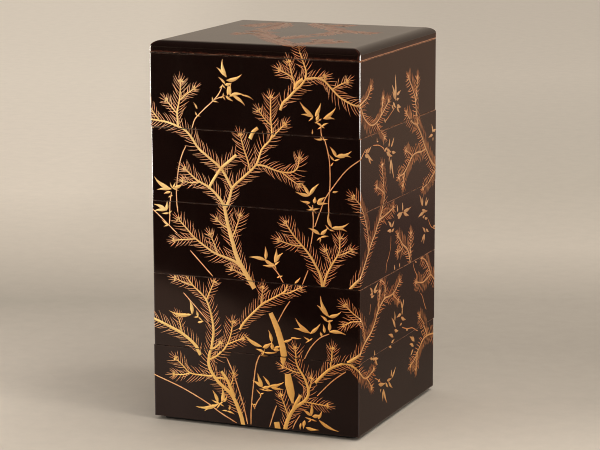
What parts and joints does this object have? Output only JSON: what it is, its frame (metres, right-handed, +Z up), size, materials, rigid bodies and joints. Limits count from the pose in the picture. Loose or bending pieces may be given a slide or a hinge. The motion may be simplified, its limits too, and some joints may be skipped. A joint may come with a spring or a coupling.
{
  "type": "tiered lacquer food box",
  "caption": "Tall stack of square black-lacquered trays that nest foot in rim under a flat, soft-shouldered lid, with gold branch and bamboo decoration; every piece lifts off.",
  "frame": {"origin": "middle of the stack's footprint, on the surface that the lowest foot stands on", "axes": "+Z up, the front with the widest part of the picture faces -Y, +X to the right of the front"},
  "size_m": [0.2212, 0.213, 0.3807],
  "materials": {
    "lacquer": "polished black urushi lacquer over wood, brown where the edges are rubbed",
    "gold": "burnished gold powder maki-e, slightly raised, redder where it is rubbed"
  },
  "bodies": {
    "root": {"lid": "lacquer", "tier_1": "lacquer", "tier_2": "lacquer", "tier_3": "lacquer", "tier_4": "lacquer", "tier_5": "lacquer"}
  },
  "joints": []
}
